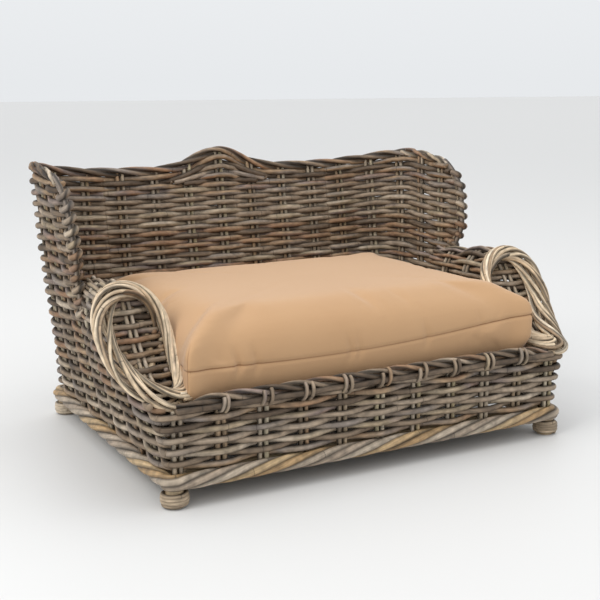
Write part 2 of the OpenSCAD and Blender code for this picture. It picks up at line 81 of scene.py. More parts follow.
# ---- Studio ----
# A plain pale floor under a white room, with a wide soft light high on the left, a weaker one on the right
# and one overhead, so that the basket's own weave makes the shadows, with painted shade added by the cane
# finish.
class Stain:
    """A value in a finish. Sums, products and the like of values and numbers become Math nodes."""

    def __init__(self, tree, socket=None):
        self.tree = tree
        self.socket = socket

    def node(self, kind, values=None, out=0, stops=None, **settings):
        """Any other node: its settings and a ramp's stops first, then the values or links of its sockets."""
        made = self.tree.nodes.new(kind)
        for setting, choice in settings.items():
            setattr(made, setting, choice)
        if stops:
            ramp = made.color_ramp
            while len(ramp.elements) < len(stops):
                ramp.elements.new(0.5)
            for element, (place, colour) in zip(ramp.elements, stops):
                element.position = place
                element.color = (*colour, 1.0)
        for name, value in (values or {}).items():
            if isinstance(value, Stain):
                self.tree.links.new(value.socket, made.inputs[name])
            else:
                made.inputs[name].default_value = value
        return Stain(self.tree, made.outputs[out])

    def sum_of(kind, swapped=False):
        """The method of one sum: a Math node of the value and another, or of the two swapped."""
        def made(self, other):
            first, second = (other, self) if swapped else (self, other)
            return self.node("ShaderNodeMath", {0: first, 1: second}, operation=kind)
        return made

    __add__, __radd__ = sum_of("ADD"), sum_of("ADD", True)
    __sub__, __rsub__ = sum_of("SUBTRACT"), sum_of("SUBTRACT", True)
    __mul__, __rmul__ = sum_of("MULTIPLY"), sum_of("MULTIPLY", True)
    __lt__ = sum_of("LESS_THAN")

    def wave(self, kind="SINE"):
        """The value put through a function of one value, such as its sine."""
        return self.node("ShaderNodeMath", {0: self}, operation=kind)

    def part(self, k):
        """A place's x, y or z, for k of 0, 1 or 2."""
        return self.node("ShaderNodeSeparateXYZ", {0: self}, out=k)

    def noise(self, across, along, deep, detail=2.0):
        """Soft random patches from 0 to 1, read at a place given by three values."""
        place = self.node("ShaderNodeCombineXYZ", {0: across, 1: along, 2: deep})
        return self.node("ShaderNodeTexNoise", {"Vector": place, "Scale": 1.0, "Detail": detail})

    def dim(self, colour, share):
        """A colour made darker or lighter by a share."""
        return self.node("ShaderNodeVectorMath", {0: colour, "Scale": share}, operation="SCALE")

    def between(self, share, first, second):
        """The first colour where the share is 0, and the second where it is 1."""
        return self.node("ShaderNodeMix", {0: share, 6: first, 7: second}, out=2, data_type="RGBA")


def new_finish(name, **constants):
    """A material whose shader sockets hold these constants, its shader node and a Stain to start from."""
    material = bpy.data.materials.new(name)
    material.use_nodes = True
    shader = material.node_tree.nodes["Principled BSDF"]
    for socket, value in constants.items():
        shader.inputs[socket.replace("_", " ")].default_value = value
    return material, shader, Stain(material.node_tree)


def feed(shader, **values):
    """Links values to the shader's sockets; Height goes through a Bump node to Normal."""
    for name, value in values.items():
        if name == "Height":
            height, distance = value
            value = value[0].node("ShaderNodeBump", {"Height": height, "Distance": distance, "Strength": 1.0})
            name = "Normal"
        value.tree.links.new(value.socket, shader.inputs[name.replace("_", " ")])


floor_half = 30.0
floor_material, floor_shader, paint = new_finish("pale_floor", Roughness=0.55)
floor_spot = paint.node("ShaderNodeTexNoise", {"Scale": 3.0, "Detail": 3.0})
feed(floor_shader, Base_Color=paint.between(floor_spot, (0.675, 0.675, 0.67, 1), (0.695, 0.695, 0.69, 1)))
floor_mesh = bpy.data.meshes.new("floor")
floor_corners = [(x * floor_half, y * floor_half, 0) for x, y in ((-1, -1), (1, -1), (1, 1), (-1, 1))]
floor_mesh.from_pydata(floor_corners, [], [(0, 1, 2, 3)])
floor_mesh.materials.append(floor_material)
floor = put("floor", floor_mesh)
floor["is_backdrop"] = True

room = bpy.data.worlds.new("white_room")
room.use_nodes = True
paint = Stain(room.node_tree)
height = paint.node("ShaderNodeTexCoord", out=0).part(2)
air = paint.between(height * 1.4, (0.80, 0.82, 0.84, 1), (1.08, 1.09, 1.10, 1))
room.node_tree.links.new(air.socket, room.node_tree.nodes["Background"].inputs[0])
bpy.context.scene.world = room
bpy.context.scene.view_settings.view_transform = "Standard"


def soft_light(name, place, size, power, colour):
    """A square light at a place, aimed at the middle of the basket."""
    data = bpy.data.lights.new(name, "AREA")
    data.size = size
    data.energy = power
    data.color = colour
    light = put(name, data)
    light.location = place
    aim = (cad_low + cad_high) / 2 - light.location
    light.rotation_euler = aim.to_track_quat("-Z", "Y").to_euler()


soft_light("left_window", (-3.5, -0.7, 3.5), 2.4, 82.0, (1.0, 0.985, 0.96))
soft_light("right_window", (2.4, -1.8, 1.6), 1.6, 2.0, (0.97, 0.985, 1.0))
soft_light("overhead", (0.0, 0.3, 3.4), 2.4, 20.0, (1.0, 1.0, 1.0))


# ---- Poles of the frame ----
# Thick rattan poles, cut to length and nailed at the corners: four posts, eight rails, eight thin slats.
# Smooth tan bark with a ring at each joint of the plant, and a fine grain along each pole.
def pole_finish(name, axis):
    """Rattan bark whose grain and rings follow one axis of the basket: 0, 1 or 2 for x, y or z."""
    material, shader, paint = new_finish(name, Specular_IOR_Level=0.4)
    place = paint.node("ShaderNodeTexCoord", out=3)
    axes = [place.part(k) for k in range(3)]
    length, first, second = axes[axis], axes[axis - 2], axes[axis - 1]
    grain = paint.noise(length * 9, first * 420, second * 420, 3.0)
    patch = paint.noise(length * 11, first * 30, second * 30, 2.0)
    ring = (length * 5.1 + patch * 0.1).wave("FRACT") < 0.018
    bark = patch.node("ShaderNodeValToRGB", {0: patch}, stops=[
        (0.30, (0.30, 0.205, 0.115)), (0.48, (0.44, 0.32, 0.19)), (0.62, (0.52, 0.40, 0.25)),
        (0.75, (0.40, 0.30, 0.20))])
    feed(shader, Base_Color=paint.dim(bark, (0.75 + grain * 0.45) * (1 - ring * 0.45)),
         Roughness=0.42 + grain * 0.3, Height=(grain * 0.6 + ring * 1.2, 0.0006))
    return material


def dress(nodes, material):
    """Gives CAD nodes a finish in place of their plain one."""
    for name in nodes:
        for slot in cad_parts[name].material_slots:
            slot.material = material


upright_pole = pole_finish("upright_pole", 2)
long_pole = pole_finish("long_pole", 0)
deep_pole = pole_finish("deep_pole", 1)
corners = ["front_left", "front_right", "rear_left", "rear_right"]
dress([f"{corner}_{part}" for part in ("post", "foot_core") for corner in corners], upright_pole)
dress(["base_front_rail", "base_rear_rail", "seat_front_rail", "seat_rear_rail"], long_pole)
dress(["base_left_rail", "base_right_rail", "seat_left_rail", "seat_right_rail", "seat_slats"], deep_pole)
dress(["left_arm_cane", "right_arm_cane", "left_arm_hoop", "right_arm_hoop"], deep_pole)

wire, wire_shader, paint = new_finish("nail_wire", Metallic=0.9)
rust = paint.node("ShaderNodeTexNoise", {"Scale": 260.0, "Detail": 3.0})
feed(wire_shader, Base_Color=paint.between(rust, (0.55, 0.55, 0.56, 1), (0.30, 0.24, 0.19, 1)),
     Roughness=0.3 + rust * 0.4)
dress(["frame_nails"], wire)


# ---- Woven seat ----
# A flat deck of thin cane laid over the slats: close rows that pass over and under pairs of thin stakes.
# It is dull and painted darker, as painted shade under the cushion that always covers it.
chance = np.random.default_rng(731)


def unit(vectors):
    """Each vector divided by its length."""
    return vectors / np.maximum(np.linalg.norm(vectors, axis=-1, keepdims=True), 1e-12)


def square_to(out, along):
    """The part of out that is square to the canes' run, as a unit vector: out less its share along them."""
    return unit(out - (out * along).sum(-1, keepdims=True) * along)


def run_of(middle):
    """Distance along each line from its first point."""
    steps = np.diff(middle, axis=-2, prepend=middle[..., :1, :])
    return np.cumsum(np.linalg.norm(steps, axis=-1), axis=-1)


def points_at(x, y, z):
    """Points from numbers or arrays of x, y and z, stretched to one shape."""
    return np.stack(np.broadcast_arrays(x, y, z), -1)


def wander(count, steps, cycles):
    """Slow random waves along each cane, from -1 to 1: the mean of three sines of random beat and phase."""
    along = np.linspace(0, 1, steps)
    beat = cycles * chance.uniform(0.5, 1.6, (count, 3, 1))
    start = chance.uniform(0, 2 * np.pi, (count, 3, 1))
    return np.sin(2 * np.pi * beat * along + start).mean(1)


def bundle(middle, out, radius, tone, sides=9):
    """Closed round canes: ring point = middle + radius (cos w * side + sin w * across), w going once round.
    middle is (canes, steps, 3), tone (canes,); out and radius may be one for all. Ends close on a point."""
    canes, steps, _ = middle.shape
    radius = np.broadcast_to(radius, (canes, steps))
    along = unit(np.gradient(middle, axis=1))
    side = square_to(out, along)
    across = np.cross(along, side)
    turn = np.pi + 2 * np.pi * np.arange(sides)[:, None] / sides
    away = np.cos(turn) * side[:, :, None] + np.sin(turn) * across[:, :, None]
    rings = middle[:, :, None] + radius[:, :, None, None] * away
    outward = np.array([-0.3, 0.3])[None, :, None]
    tips = middle[:, [0, -1]] + outward * along[:, [0, -1]] * radius[:, [0, -1], None]
    ring_at = np.arange(canes * steps * sides).reshape(canes, steps, sides)
    tip_at = canes * steps * sides + np.arange(canes * 2).reshape(canes, 2)
    step_on = np.roll(ring_at, -1, axis=2)
    quads = np.stack([ring_at[:, :-1], step_on[:, :-1], step_on[:, 1:], ring_at[:, 1:]], -1).reshape(-1, 4)
    starts = points_at(tip_at[:, 0:1], step_on[:, 0], ring_at[:, 0]).reshape(-1, 3)
    ends = points_at(tip_at[:, 1:2], ring_at[:, -1], step_on[:, -1]).reshape(-1, 3)
    run = run_of(middle)
    round_at = np.arange(sides) / sides
    round_on = round_at + 1 / sides
    first, last = run[:, :-1, None], run[:, 1:, None]
    u = np.stack(np.broadcast_arrays(first, first, last, last), -1) + 0 * round_at[:, None]
    v = np.stack([round_at, round_on, round_on, round_at], -1) + 0 * u
    quad_uv = np.stack([u, v], -1).reshape(-1, 2)
    tip_uv = np.concatenate([np.repeat(run[:, 0], 3 * sides), np.repeat(run[:, -1], 3 * sides)])
    tip_uv = np.stack([tip_uv, np.full_like(tip_uv, 0.5)], -1)
    points = np.concatenate([rings.reshape(-1, 3), tips.reshape(-1, 3)])
    tones = np.concatenate([np.repeat(tone, steps * sides), np.repeat(tone, 2)])
    return points, quads, np.concatenate([starts, ends]), quad_uv, tip_uv, tones


def mark(mesh, name, values):
    """Stores a value at each point of a mesh, for its finish to read."""
    mesh.attributes.new(name, "FLOAT", "POINT").data.foreach_set("value", values.astype(np.float32))


def lay_canes(name, bundles, material, slot, *nodes, body="basket"):
    """Joins bundles of canes into one piece that rides a body and stands for its CAD nodes."""
    points, quads, caps, quad_uv, tip_uv, tones = zip(*bundles)
    starts = np.cumsum([0] + [len(some) for some in points])
    quads, caps = (np.concatenate([some + start for some, start in zip(faces, starts)])
                   for faces in (quads, caps))
    mesh = bpy.data.meshes.new(name)
    mesh.from_pydata(np.concatenate(points), [], quads.tolist() + caps.tolist())
    uv = np.concatenate(quad_uv + tip_uv).astype(np.float32)
    mesh.uv_layers.new(name="cane").data.foreach_set("uv", uv.ravel())
    mark(mesh, "tone", np.concatenate(tones))
    mesh.shade_smooth()
    mesh.materials.append(material)
    piece = put(name, mesh)
    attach(piece, body)
    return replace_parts(piece, *nodes)


def cane_finish(name, hues, roughness=0.6, spread=0.62, gain=1.0, streak=0.9, contact_shade_depth=0.8):
    """Cane bark: each cane's own tone picks a place on the ramp of hues, patches along its run shift it,
    fine streaks follow its length, a dark ring marks each joint of the plant, and painted shade darkens the
    two sides where it touches its neighbours, standing in for the shade between canes."""
    material, shader, paint = new_finish(name, Specular_IOR_Level=0.35)
    place = paint.node("ShaderNodeUVMap", uv_map="cane")
    run, around = place.part(0), place.part(1)
    tone = paint.node("ShaderNodeAttribute", out=2, attribute_name="tone")
    patch = paint.noise(run * 8, around * 0.8, tone * 91, 2.0)
    mottle = paint.noise(run * 70, around * 3, tone * 57, 3.0)
    fibre = paint.noise(run * 26, around * 17, tone * 33, 3.0)
    ring = (run * 3.1 + tone * 17).wave("FRACT") < 0.006
    bark = paint.node("ShaderNodeValToRGB", {0: tone + (patch - 0.5) * spread}, stops=hues)
    # Painted shade: the two sides of each cane that face its neighbours are darkened, in place of the shade
    # between touching canes.
    touch = (around * 2 * math.pi).wave().wave("ABSOLUTE")
    painted_contact_shade = 1 - touch * touch * touch * contact_shade_depth
    light = (1.08 - streak / 2 + fibre * streak) * (0.2 + mottle * 1.7) * (1 - ring * 0.4) * painted_contact_shade * gain
    feed(shader, Base_Color=paint.dim(bark, light), Roughness=roughness + (mottle - 0.5) * 0.4,
         Height=(fibre * 1.0 + mottle * 0.9 + ring * 1.5, 0.0009))
    return material


weathered_hues = [
    (0.00, (0.083, 0.057, 0.037)), (0.13, (0.150, 0.108, 0.073)), (0.27, (0.230, 0.172, 0.119)),
    (0.40, (0.295, 0.232, 0.171)), (0.50, (0.187, 0.156, 0.133)), (0.60, (0.260, 0.180, 0.110)),
    (0.69, (0.235, 0.136, 0.077)), (0.77, (0.196, 0.150, 0.130)), (0.87, (0.262, 0.202, 0.131)),
    (1.00, (0.378, 0.312, 0.240))]
# Painted shade: a gain of 0.85 darkens the seat's canes for the shade under the cushion.
shaded_seat_cane = cane_finish("shaded_seat_cane", weathered_hues, gain=0.85)
seat_low, seat_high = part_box("seat_weave")
seat_mid = (seat_low.z + seat_high.z) / 2
seat_step = 0.0074
seat_stake_pitch = 0.06
seat_swing = 0.0029
seat_cane, seat_stake = 0.0033, 0.0026
seat_pair_half = 0.0032
seat_y = np.arange(seat_low.y + 0.006, seat_high.y - 0.004, seat_step)
seat_x = np.linspace(seat_low.x + 0.003, seat_high.x - 0.003, 76)
swing = seat_swing * np.cos(np.pi * (seat_x / seat_stake_pitch + np.arange(len(seat_y))[:, None]))
seat_rows = points_at(seat_x, seat_y[:, None], seat_mid - 0.001 + swing)
up = [0.0, 0.0, 1.0]
row_bundle = bundle(seat_rows, up, seat_cane, chance.random(len(seat_y)), 7)
stake_x = np.arange(-5, 6) * seat_stake_pitch
stake_x = np.sort(np.concatenate([stake_x - seat_pair_half, stake_x + seat_pair_half]))
stake_y = np.linspace(seat_low.y + 0.004, seat_high.y - 0.004, 12)
seat_stakes = points_at(stake_x[:, None], stake_y, seat_mid - 0.001)
stake_bundle = bundle(seat_stakes, up, seat_stake, chance.random(len(stake_x)), 7)
lay_canes("seat_canes", [row_bundle, stake_bundle], shaded_seat_cane, "woven_cane", "seat_weave")


# ---- Feet ----
# Short pole ends wound with four turns of cane, the middle turns widest, so that each foot is a low bun.
foot_cane = cane_finish("foot_cane", [
    (0.0, (0.24, 0.18, 0.12)), (0.3, (0.38, 0.30, 0.21)), (0.6, (0.46, 0.37, 0.27)),
    (1.0, (0.54, 0.45, 0.34))])
coil_radius = 0.0038
turns = 4
for corner in corners:
    low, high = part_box(f"{corner}_foot_wrap")
    wind = np.linspace(0, 1, 40 * turns)
    belly = (high.x - low.x) / 2 - coil_radius + 0.0006 - 0.0021 * (2 * wind - 1) ** 2
    angle = 2 * np.pi * turns * wind + chance.uniform(0, 6)
    middle = (low + high) / 2
    coil = np.stack([middle.x + belly * np.cos(angle), middle.y + belly * np.sin(angle),
                     low.z + coil_radius + (high.z - low.z - 2 * coil_radius) * wind], -1)[None]
    outward = np.stack([np.cos(angle), np.sin(angle), 0 * angle], -1)[None]
    thick = coil_radius * (1 + 0.06 * wander(1, len(wind), 5))
    lay_canes(f"{corner}_foot_coil", [bundle(coil, outward, thick, chance.random(1), 10)],
              foot_cane, "foot_cane", f"{corner}_foot_wrap")


# ---- Walls: the surface that stakes and weavers follow ----
# The wall runs round from the middle of the back, over a rounded rear corner, forward along the side, which
# leans out and swells under the arm, and round a tight front corner to the middle of the front.
rope_low, rope_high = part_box("base_rope")
base_y = (rope_low.y + rope_high.y) / 2
wall_foot = 0.056
front_line = -0.279
front_bend = 0.012
back_top = 0.468


def smooth(t):
    """0 below 0, 1 above 1, and an easy curve between."""
    t = np.clip(t, 0, 1)
    return t * t * (3 - 2 * t)


def hump(t, power=2):
    """1 at 0, falling off to both sides: e to the minus t to the power."""
    return np.exp(-(t ** power))


side_lean, back_lean = 0.1, 0.18


def half_width(z):
    """Distance of the side wall from the middle at height z."""
    return 0.376 + side_lean * (z - wall_foot)


def back_depth(z):
    """Distance of the back wall behind the middle at height z."""
    return 0.279 + back_lean * (z - wall_foot)


def rear_bend(z):
    """Radius of the rear corner at height z."""
    return 0.020 + 0.25 * (z - wall_foot)


def swell(y, z):
    """How far the side stands out below the arm: most at the front and at the top."""
    return 0.0356 * smooth((0.1 - y) / 0.26) * np.clip((z - 0.06) / 0.18, 0, 1) ** 1.6


def round_to(y, z):
    """Distance round the wall, at height z, from the middle of the back to depth y on the side."""
    return half_width(z) - rear_bend(z) * (1 - np.pi / 2) + back_depth(z) - rear_bend(z) - y


def round_all(z):
    """Distance round the wall from the middle of the back to the middle of the front."""
    side_x = half_width(z) + swell(front_line, z)
    return round_to(front_line + front_bend, z) + front_bend * (np.pi / 2 - 1) + side_x


def wall(s, z, lift=0.0):
    """Point at distance s round the wall (left where s is negative) and height z, raised by lift along the
    wall's outward direction, and that direction. The rear bend is a quarter turn, the front bend another."""
    hand = np.where(s < 0, -1.0, 1.0)
    s = np.abs(s)
    wide, deep, bend = half_width(z), back_depth(z), rear_bend(z)
    turn = np.clip((s - wide + bend) / bend, 0, np.pi / 2)
    ahead = np.clip(s - wide + bend - bend * np.pi / 2, 0, deep - bend - front_line - front_bend)
    corner = np.clip((s - round_to(front_line + front_bend, z)) / front_bend, 0, np.pi / 2)
    beyond = np.maximum(s - round_to(front_line + front_bend, z) - front_bend * np.pi / 2, 0)
    x = np.minimum(s, wide - bend) + bend * np.sin(turn) + swell(deep - bend - ahead, z) * (ahead > 0)
    x = x - front_bend * (1 - np.cos(corner)) - beyond
    y = deep - bend + bend * np.cos(turn) - ahead - front_bend * np.sin(corner) + base_y
    facing = turn + corner
    tilt = -side_lean * np.sin(facing) - back_lean * np.maximum(np.cos(facing), 0)
    out = unit(points_at(hand * np.sin(facing), np.cos(facing), tilt))
    return points_at(hand * x, y, z) + np.asarray(lift)[..., None] * out, out


def crest_rise(s):
    """How far the crest in the middle of the back stands up at distance s."""
    return 0.037 * hump(s / 0.071)


def top_line(s):
    """Height of the back's top edge, without the wings' fall: a crest in the middle and round shoulders."""
    s = np.abs(s)
    return back_top + crest_rise(s) + 0.026 * hump((s - 0.480) / 0.130)


shoulder_start = 0.547
wing_reach = 0.663
shoulder_z = 0.400
shoulder_rise = top_line(shoulder_start) - shoulder_z


def wall_top(s):
    """Height of the top edge: the top line, then a quarter of an ellipse down to the wing's front edge."""
    fall = np.clip((np.abs(s) - shoulder_start) / (wing_reach - shoulder_start), 0, 1)
    over = shoulder_z + shoulder_rise * np.sqrt(1 - fall ** 2)
    return np.where(np.abs(s) < shoulder_start, top_line(s), over)


def wing_edge(z):
    """Distance round the wall to the wing's front edge at height z: rounded above, drawn back at the arm."""
    climb = np.clip((z - shoulder_z) / shoulder_rise, 0, 1)
    over = shoulder_start + (wing_reach - shoulder_start) * np.sqrt(1 - climb ** 2)
    return over - 0.027 * np.clip((0.350 - z) / 0.050, 0, 1) ** 1.5


# ---- Stakes ----
# Pairs of upright canes, peeled paler than the weave, that stand on the base and end in the borders. Those of
# the side walls bend over the arm and run down inside it to the seat.
stake_pitch = 0.073
side_pairs, front_pairs = 12, 5
last_side = side_pairs * stake_pitch
pair_half = 0.0055
stake_radius = 0.0044
pale_cane = cane_finish("pale_cane", [
    (0.00, (0.190, 0.140, 0.092)), (0.20, (0.290, 0.230, 0.165)), (0.40, (0.390, 0.325, 0.245)),
    (0.58, (0.310, 0.235, 0.150)), (0.72, (0.300, 0.185, 0.105)), (0.82, (0.350, 0.295, 0.175)),
    (1.00, (0.450, 0.385, 0.300))], 0.55, 0.35)


def stakes_of(middle, out, thick=stake_radius, sides=9):
    """A bundle of stakes along given lines, each a little uneven in thickness."""
    count, steps, _ = middle.shape
    radius = thick * (1 + 0.08 * chance.standard_normal((count, 1)) + 0.05 * wander(count, steps, 3))
    return bundle(middle, out, radius, chance.random(count), sides)


def wall_stakes(places, foot, top, steps=26):
    """Stakes that stand at these distances round the wall, from foot to top height."""
    s = np.asarray(places, float)[:, None]
    z = foot + (np.broadcast_to(top, s[:, 0].shape)[:, None] - foot) * np.linspace(0, 1, steps)
    middle, out = wall(s + 0.0012 * wander(len(s), steps, 2), z, 0.0006 * wander(len(s), steps, 3))
    return stakes_of(middle, out)


def pairs(places):
    """Two places for each one given, half a pair's spacing to either side."""
    places = np.asarray(places, float)
    return np.sort(np.concatenate([places - pair_half, places + pair_half]))


stake_foot = 0.050
front_x = pairs(np.arange(-front_pairs, front_pairs + 1) * stake_pitch)
front_z = np.linspace(stake_foot, 0.152, 14)
front_stake_lines = points_at(
    front_x[:, None] + 0.001 * wander(len(front_x), len(front_z), 1), front_line + base_y, front_z)
forward = [0.0, -1.0, 0.0]
lay_canes("front_wall_stakes", [stakes_of(front_stake_lines, forward)],
          pale_cane, "pale_cane", "front_stakes")
back_s = pairs(np.arange(-3, 4) * stake_pitch)
lay_canes("back_wall_stakes", [wall_stakes(back_s, stake_foot, wall_top(back_s) - 0.012, 48)],
          pale_cane, "pale_cane", "back_stakes")


# ---- Arms: the surface of the roll ----
# The side wall's weave goes on over a roll, narrow at the wing and wide at its front, and down inside to the
# seat. The roll's front is an upside-down drop that leans back and turns a little towards the seat.
arm_x, arm_mid_z, arm_half_w, arm_half_h = 0.384, 0.239, 0.046, 0.073
arm_rear_y = 0.060
arm_rear_w, arm_rear_h = 0.024, 0.059
arm_crown_z = 0.280
roll_share = 0.7
side_top_z = 0.240


def arm_ring(t):
    """Front outline of the arm at angle t: x and z of a drop that is wider at the top."""
    low = np.minimum(np.sin(t), 0)
    x = arm_x + arm_half_w * np.cos(t) * (1 + 0.2 * np.sin(t)) + 0.004 * np.sin(t)
    return x - 0.010 * low ** 2 * (1 - np.cos(t)), arm_mid_z + arm_half_h * np.sin(t)


def arm_front(x, z):
    """Depth of the arm's front at x and z: a plane that leans back, drawn forward at its foot."""
    foot = 0.050 * np.maximum(0, (arm_crown_z - z) / 0.120) ** 3
    return -0.158 - 0.35 * (x - 0.440) + 0.7 * (z - arm_crown_z) - foot


def arm_skin(u, v):
    """The right arm: u goes from the outer side over the roll and down inside, v from wing to front."""
    t = np.pi * np.clip(u / roll_share, 0, 1)
    drop = np.maximum(0, (u - roll_share) / (1 - roll_share))
    share = smooth(v)
    ring_x, ring_z = arm_ring(t)
    rear_x = half_width(arm_crown_z) - arm_rear_w + arm_rear_w * np.cos(t)
    rear_z = arm_mid_z + arm_rear_h * np.sin(t)
    x = rear_x + (ring_x - rear_x) * share
    z = rear_z + (ring_z - rear_z) * share
    z = z + (seat_high.z + 0.001 - z) * drop
    front = np.maximum(arm_front(x, z) + 0.006, front_line + 0.030)
    return points_at(x, arm_rear_y + (front - arm_rear_y) * v + base_y, z)


def off_skin(skin, u, v, lift):
    """Point of a skin raised by lift along its normal, the cross product of its slopes, and the normal."""
    d = 1e-3
    out = unit(np.cross(skin(u + d, v) - skin(u - d, v), skin(u, v + d) - skin(u, v - d)))
    return skin(u, v) + np.asarray(lift)[..., None] * out, out


def arm_share(u, y):
    """The v at which the arm's row u reaches depth y."""
    front = arm_skin(u, np.ones_like(u))[..., 1] - base_y
    return (arm_rear_y - y) / (arm_rear_y - front)


hands = (("left", -1), ("right", 1))
over_arm = [9, 10, 11]
for side, hand in hands:
    flip = [hand, 1, 1]
    low_stakes = wall_stakes(hand * pairs(np.arange(4, 9) * stake_pitch), stake_foot, side_top_z)
    front_stakes = wall_stakes(hand * pairs([last_side]), stake_foot, 0.200)
    climb = np.linspace(stake_foot, side_top_z - 0.004, 20)
    rise, rise_out = wall(pairs(np.array(over_arm) * stake_pitch)[:, None], climb[None, :], 0.0)
    u = np.concatenate([np.linspace(0.02, roll_share, 22), np.linspace(roll_share + 0.03, 0.99, 8)])[None, :]
    depth = rise[:, -1:, 1] - base_y
    over, over_out = off_skin(arm_skin, u + 0 * depth, arm_share(u, depth), 0.0)
    lines = np.concatenate([rise, over], axis=1) * flip
    bent = stakes_of(lines, np.concatenate([rise_out, over_out], axis=1) * flip)
    lay_canes(f"{side}_wall_stakes", [low_stakes, front_stakes, bent],
              pale_cane, "pale_cane", f"{side}_side_stakes")
    wing_s = pairs(np.arange(4, 9) * stake_pitch)
    wing_up = wall_stakes(hand * wing_s, side_top_z, np.minimum(wall_top(wing_s) - 0.014, 0.478))
    lay_canes(f"{side}_wing_uprights", [wing_up], pale_cane, "pale_cane", f"{side}_wing_stakes")


# ---- Weave of the walls ----
# Round weathered core, one cane to a row: each passes outside one pair of stakes and inside the next, and the
# row above does the opposite. At a wing's front edge each cane turns round the edge stakes into the next row.
woven_cane = cane_finish("woven_cane", weathered_hues)
weaver_radius = 0.0056
weave_swing = 0.0072
first_row = 0.0607
row_pitch = 0.00936
back_rows = 42
side_rows = 19
front_rows = 10
back_half = 3.5 * stake_pitch
rows_over = 2
short_rows = 4


def row_z(row, s):
    """Height of a row at distance s: level below, with the last rows bent over the crest, and lifted little
    by little towards the shoulders."""
    level = first_row + row_pitch * row
    crest = crest_rise(s)
    shoulder = top_line(np.minimum(np.abs(s), shoulder_start)) - back_top - crest
    bent = crest * (np.asarray(row) >= back_rows - rows_over)
    return level + bent + shoulder * np.clip((level - 0.20) / 0.25, 0, 1)


def round_corner(s, z):
    """Pairs of stakes passed at s, from the side's last pair round the corner to the front's first."""
    last_front = round_all(z) - front_pairs * stake_pitch
    return side_pairs + (s - last_side) / (last_front - last_side)


row_tone = chance.random(back_rows + short_rows)
row_radius = weaver_radius * (1 + 0.06 * chance.standard_normal(back_rows + short_rows).clip(-1.6, 1.6))


def weavers(s, z, phase, row, swing=weave_swing, turned=None):
    """Weaving canes along the wall: out and in as the cosine of half a turn for each pair of stakes passed.
    Where turned gives a lift of its own, as round an edge, that is used instead."""
    count, steps = s.shape
    lift = swing * np.cos(np.pi * (phase + row[:, None]))
    if turned is not None:
        lift = np.where(np.isnan(turned), lift, turned)
    within = np.sin(np.pi * np.linspace(0, 1, steps)) ** 0.3
    lift = lift * (1 + 0.10 * within * wander(count, steps, 5)) + 0.0005 * within * wander(count, steps, 9)
    middle, out = wall(s, z + 0.0010 * within * wander(count, steps, 5), lift)
    radius = row_radius[row][:, None] * (1 + 0.08 * within * wander(count, steps, 6))
    radius = radius * (1 + 0.05 * (z > side_top_z))
    return bundle(middle, out, radius, row_tone[row] + chance.uniform(-0.02, 0.02, count), 9)


# The front wall, from the middle of one front corner to the middle of the other
rows = np.arange(front_rows)
z = (first_row + row_pitch * rows)[:, None]
corner_s = round_to(front_line + front_bend, z) + front_bend * np.pi / 4
q = np.linspace(-1, 1, 150)[None, :]
s = round_all(z) - np.abs(q) * (round_all(z) - corner_s)
phase = side_pairs + 1 + front_pairs - (round_all(z) - s) / stake_pitch
corner_phase = round_corner(s, z)
phase = np.where(corner_phase < side_pairs + 1, corner_phase, phase)
lay_canes("front_wall_weave", [weavers(np.where(q < 0, -s, s), z + 0 * q, phase, rows)],
          woven_cane, "woven_cane", "front_weave")

# The straight back
rows = np.arange(back_rows)
s = np.broadcast_to(np.linspace(-back_half, back_half, 92), (back_rows, 92))
full = weavers(s, row_z(rows[:, None], s), s / stake_pitch, rows)
# Short rows under the crest, tucked in where the long rows close over them again
share = np.arange(1, short_rows + 1)[:, None] / (short_rows + 1)
reach = 0.072 + 0.050 * share
s = reach * np.linspace(-1, 1, 40)
below = back_rows - rows_over - 1
z = first_row + row_pitch * (below + share) + crest_rise(s) * share
infill = weavers(s, z, s / stake_pitch, np.arange(below + 1, below + 1 + short_rows))
lay_canes("back_wall_weave", [full, infill], woven_cane, "woven_cane", "back_weave")

